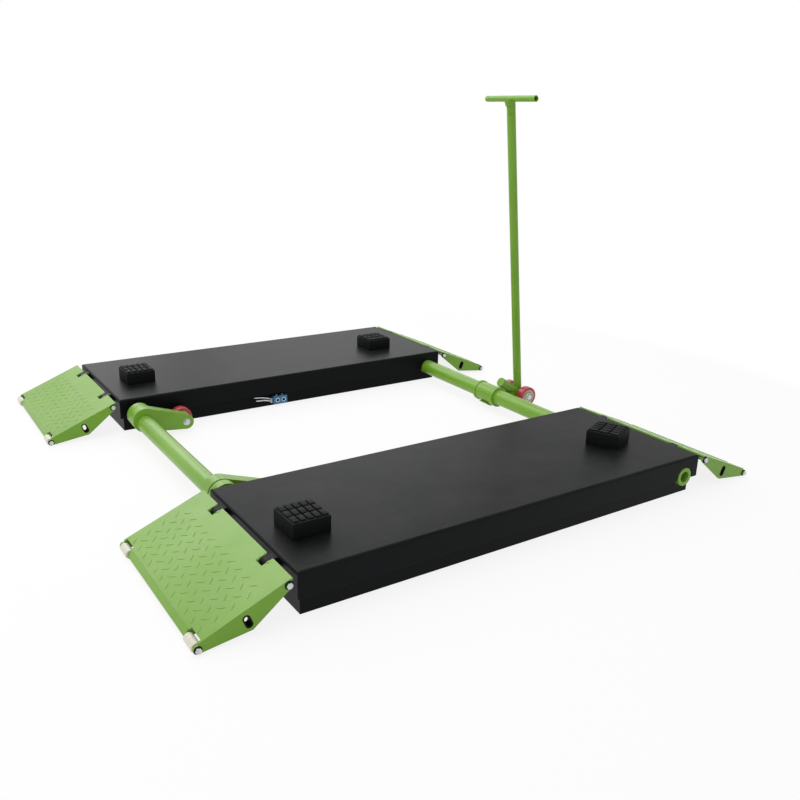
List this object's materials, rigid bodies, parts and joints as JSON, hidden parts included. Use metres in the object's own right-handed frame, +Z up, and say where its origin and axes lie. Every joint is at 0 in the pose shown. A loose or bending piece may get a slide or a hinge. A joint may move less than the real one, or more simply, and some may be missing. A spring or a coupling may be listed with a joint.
{
  "type": "mobile scissor car lift",
  "caption": "Low mobile scissor lift for cars: folding decks with ramps and rubber pads, joined by cross tubes with transport wheels and a T-handled dolly.",
  "frame": {"origin": "middle of the lift's footprint, on the floor", "axes": "+X along the platforms towards the dolly, +Y across them to the far platform, +Z up"},
  "size_m": [1.9358, 1.975, 1.203],
  "materials": {
    "black_coat": "satin black powder coat",
    "green_paint": "gloss apple green paint",
    "zinc_steel": "zinc plated steel",
    "rod_chrome": "hard chrome",
    "pad_rubber": "matte moulded rubber",
    "wheel_red": "satin polyurethane",
    "roller_nylon": "natural nylon",
    "coupling_blue": "anodised blue"
  },
  "bodies": {
    "base": {"near_base_frame": "black_coat", "near_lower_pivot_shaft": "zinc_steel", "near_barrel_pin": "zinc_steel", "far_base_frame": "black_coat", "far_lower_pivot_shaft": "zinc_steel", "far_barrel_pin": "zinc_steel", "rear_cross_tube": "green_paint", "tube_sleeve": "green_paint", "hydraulic_coupling": "coupling_blue"},
    "near_outer_arms": {"near_outer_arms": "black_coat", "near_centre_pins": "zinc_steel", "near_upper_roller_shaft": "zinc_steel"},
    "near_inner_arms": {"near_inner_arms": "black_coat", "near_lower_roller_shaft": "zinc_steel"},
    "near_deck": {"near_deck": "black_coat", "near_deck_rails": "black_coat", "near_upper_pivot_shaft": "zinc_steel", "near_pads": "pad_rubber", "near_ramp_hinge_rods": "zinc_steel"},
    "near_barrel": {"near_cylinder_barrel": "black_coat"},
    "near_rod": {"near_cylinder_rod": "rod_chrome", "near_rod_pin": "zinc_steel"},
    "near_upper_rollers": {"near_upper_rollers": "zinc_steel"},
    "near_lower_rollers": {"near_lower_rollers": "zinc_steel"},
    "near_ramp_front": {"near_ramp_front": "green_paint", "near_tip_bolts_front": "zinc_steel"},
    "near_tip_rollers_front": {"near_tip_rollers_front": "roller_nylon"},
    "near_ramp_rear": {"near_ramp_rear": "green_paint", "near_tip_bolts_rear": "zinc_steel"},
    "near_tip_rollers_rear": {"near_tip_rollers_rear": "roller_nylon"},
    "far_outer_arms": {"far_outer_arms": "black_coat", "far_centre_pins": "zinc_steel", "far_upper_roller_shaft": "zinc_steel"},
    "far_inner_arms": {"far_inner_arms": "black_coat", "far_lower_roller_shaft": "zinc_steel"},
    "far_deck": {"far_deck": "black_coat", "far_deck_rails": "black_coat", "far_upper_pivot_shaft": "zinc_steel", "far_pads": "pad_rubber", "far_ramp_hinge_rods": "zinc_steel"},
    "far_barrel": {"far_cylinder_barrel": "black_coat"},
    "far_rod": {"far_cylinder_rod": "rod_chrome", "far_rod_pin": "zinc_steel"},
    "far_upper_rollers": {"far_upper_rollers": "zinc_steel"},
    "far_lower_rollers": {"far_lower_rollers": "zinc_steel"},
    "far_ramp_front": {"far_ramp_front": "green_paint", "far_tip_bolts_front": "zinc_steel"},
    "far_tip_rollers_front": {"far_tip_rollers_front": "roller_nylon"},
    "far_ramp_rear": {"far_ramp_rear": "green_paint", "far_tip_bolts_rear": "zinc_steel"},
    "far_tip_rollers_rear": {"far_tip_rollers_rear": "roller_nylon"},
    "front_axle": {"front_cross_tube": "green_paint", "wheel_arm_near": "green_paint", "wheel_arm_far": "green_paint", "front_wheel_bolts": "zinc_steel"},
    "front_wheel_near": {"front_wheel_near": "wheel_red"},
    "front_wheel_far": {"front_wheel_far": "wheel_red"},
    "dolly": {"handle": "green_paint", "dolly_yoke": "green_paint", "dolly_axle": "zinc_steel"},
    "dolly_wheel_near": {"dolly_wheel_near": "wheel_red"},
    "dolly_wheel_far": {"dolly_wheel_far": "wheel_red"}
  },
  "joints": [
    {"name": "near_lift", "type": "hinge", "parent": "base", "child": "near_outer_arms", "pos_m": [0.56, -0.705, 0.038], "axis": [0, 1, 0], "range_deg": [0, 45]},
    {"name": "near_scissor", "type": "hinge", "parent": "near_outer_arms", "child": "near_inner_arms", "pos_m": [-0.0145, -0.705, 0.063], "axis": [0, 1, 0], "range_deg": [-90, 0]},
    {"name": "near_deck_pivot", "type": "hinge", "parent": "near_inner_arms", "child": "near_deck", "pos_m": [0.56, -0.705, 0.088], "axis": [0, 1, 0], "range_deg": [0, 45]},
    {"name": "near_barrel_tilt", "type": "hinge", "parent": "base", "child": "near_barrel", "pos_m": [0.166, -0.705, 0.03], "axis": [0, 1, 0], "range_deg": [0, 63.2]},
    {"name": "near_rod_slide", "type": "slide", "parent": "near_barrel", "child": "near_rod", "axis": [-0.9753, 0, 0.221], "range_m": [0, 0.0873]},
    {"name": "near_upper_roller_spin", "type": "hinge", "parent": "near_outer_arms", "child": "near_upper_rollers", "pos_m": [-0.589, -0.705, 0.088], "axis": [0, 1, 0], "continuous": true},
    {"name": "near_lower_roller_spin", "type": "hinge", "parent": "near_inner_arms", "child": "near_lower_rollers", "pos_m": [-0.589, -0.705, 0.038], "axis": [0, 1, 0], "continuous": true},
    {"name": "near_ramp_front_hinge", "type": "hinge", "parent": "near_deck", "child": "near_ramp_front", "pos_m": [-0.735, -0.705, 0.105], "axis": [0, 1, 0], "range_deg": [-44, 110]},
    {"name": "near_tip_roller_front_spin", "type": "hinge", "parent": "near_ramp_front", "child": "near_tip_rollers_front", "pos_m": [-0.95538, -0.705, 0.0125], "axis": [0, 1, 0], "continuous": true},
    {"name": "near_ramp_rear_hinge", "type": "hinge", "parent": "near_deck", "child": "near_ramp_rear", "pos_m": [0.735, -0.705, 0.105], "axis": [0, 1, 0], "range_deg": [-110, 44]},
    {"name": "near_tip_roller_rear_spin", "type": "hinge", "parent": "near_ramp_rear", "child": "near_tip_rollers_rear", "pos_m": [0.95538, -0.705, 0.0125], "axis": [0, 1, 0], "continuous": true},
    {"name": "far_lift", "type": "hinge", "parent": "base", "child": "far_outer_arms", "pos_m": [0.56, 0.705, 0.038], "axis": [0, 1, 0], "range_deg": [0, 45]},
    {"name": "far_scissor", "type": "hinge", "parent": "far_outer_arms", "child": "far_inner_arms", "pos_m": [-0.0145, 0.705, 0.063], "axis": [0, 1, 0], "range_deg": [-90, 0]},
    {"name": "far_deck_pivot", "type": "hinge", "parent": "far_inner_arms", "child": "far_deck", "pos_m": [0.56, 0.705, 0.088], "axis": [0, 1, 0], "range_deg": [0, 45]},
    {"name": "far_barrel_tilt", "type": "hinge", "parent": "base", "child": "far_barrel", "pos_m": [0.166, 0.705, 0.03], "axis": [0, 1, 0], "range_deg": [0, 63.2]},
    {"name": "far_rod_slide", "type": "slide", "parent": "far_barrel", "child": "far_rod", "axis": [-0.9753, 0, 0.221], "range_m": [0, 0.0873]},
    {"name": "far_upper_roller_spin", "type": "hinge", "parent": "far_outer_arms", "child": "far_upper_rollers", "pos_m": [-0.589, 0.705, 0.088], "axis": [0, 1, 0], "continuous": true},
    {"name": "far_lower_roller_spin", "type": "hinge", "parent": "far_inner_arms", "child": "far_lower_rollers", "pos_m": [-0.589, 0.705, 0.038], "axis": [0, 1, 0], "continuous": true},
    {"name": "far_ramp_front_hinge", "type": "hinge", "parent": "far_deck", "child": "far_ramp_front", "pos_m": [-0.735, 0.705, 0.105], "axis": [0, 1, 0], "range_deg": [-44, 110]},
    {"name": "far_tip_roller_front_spin", "type": "hinge", "parent": "far_ramp_front", "child": "far_tip_rollers_front", "pos_m": [-0.95538, 0.705, 0.0125], "axis": [0, 1, 0], "continuous": true},
    {"name": "far_ramp_rear_hinge", "type": "hinge", "parent": "far_deck", "child": "far_ramp_rear", "pos_m": [0.735, 0.705, 0.105], "axis": [0, 1, 0], "range_deg": [-110, 44]},
    {"name": "far_tip_roller_rear_spin", "type": "hinge", "parent": "far_ramp_rear", "child": "far_tip_rollers_rear", "pos_m": [0.95538, 0.705, 0.0125], "axis": [0, 1, 0], "continuous": true},
    {"name": "front_axle_turn", "type": "hinge", "parent": "base", "child": "front_axle", "pos_m": [-0.653, 0, 0.061], "axis": [0, 1, 0], "range_deg": [-20, 25]},
    {"name": "front_wheel_near_spin", "type": "hinge", "parent": "front_axle", "child": "front_wheel_near", "pos_m": [-0.50246, -0.394, 0.04], "axis": [0, 1, 0], "continuous": true},
    {"name": "front_wheel_far_spin", "type": "hinge", "parent": "front_axle", "child": "front_wheel_far", "pos_m": [-0.50246, 0.394, 0.04], "axis": [0, 1, 0], "continuous": true},
    {"name": "dolly_tilt", "type": "hinge", "parent": "base", "child": "dolly", "pos_m": [0.653, 0, 0.061], "axis": [0, 1, 0], "range_deg": [-12, 45]},
    {"name": "dolly_wheel_near_spin", "type": "hinge", "parent": "dolly", "child": "dolly_wheel_near", "pos_m": [0.805, -0.0525, 0.04], "axis": [0, 1, 0], "continuous": true},
    {"name": "dolly_wheel_far_spin", "type": "hinge", "parent": "dolly", "child": "dolly_wheel_far", "pos_m": [0.805, 0.0525, 0.04], "axis": [0, 1, 0], "continuous": true}
  ],
  "couplings": [
    {"joint": "near_scissor", "follows": "near_lift", "ratio": -2},
    {"joint": "near_deck_pivot", "follows": "near_lift", "ratio": 1},
    {"joint": "near_barrel_tilt", "follows": "near_lift", "ratio": 1.3989},
    {"joint": "near_rod_slide", "follows": "near_lift", "m_per_rad": 0.1105},
    {"joint": "far_lift", "follows": "near_lift", "ratio": 1},
    {"joint": "far_scissor", "follows": "near_lift", "ratio": -2},
    {"joint": "far_deck_pivot", "follows": "near_lift", "ratio": 1},
    {"joint": "far_barrel_tilt", "follows": "near_lift", "ratio": 1.3989},
    {"joint": "far_rod_slide", "follows": "near_lift", "m_per_rad": 0.1105}
  ]
}
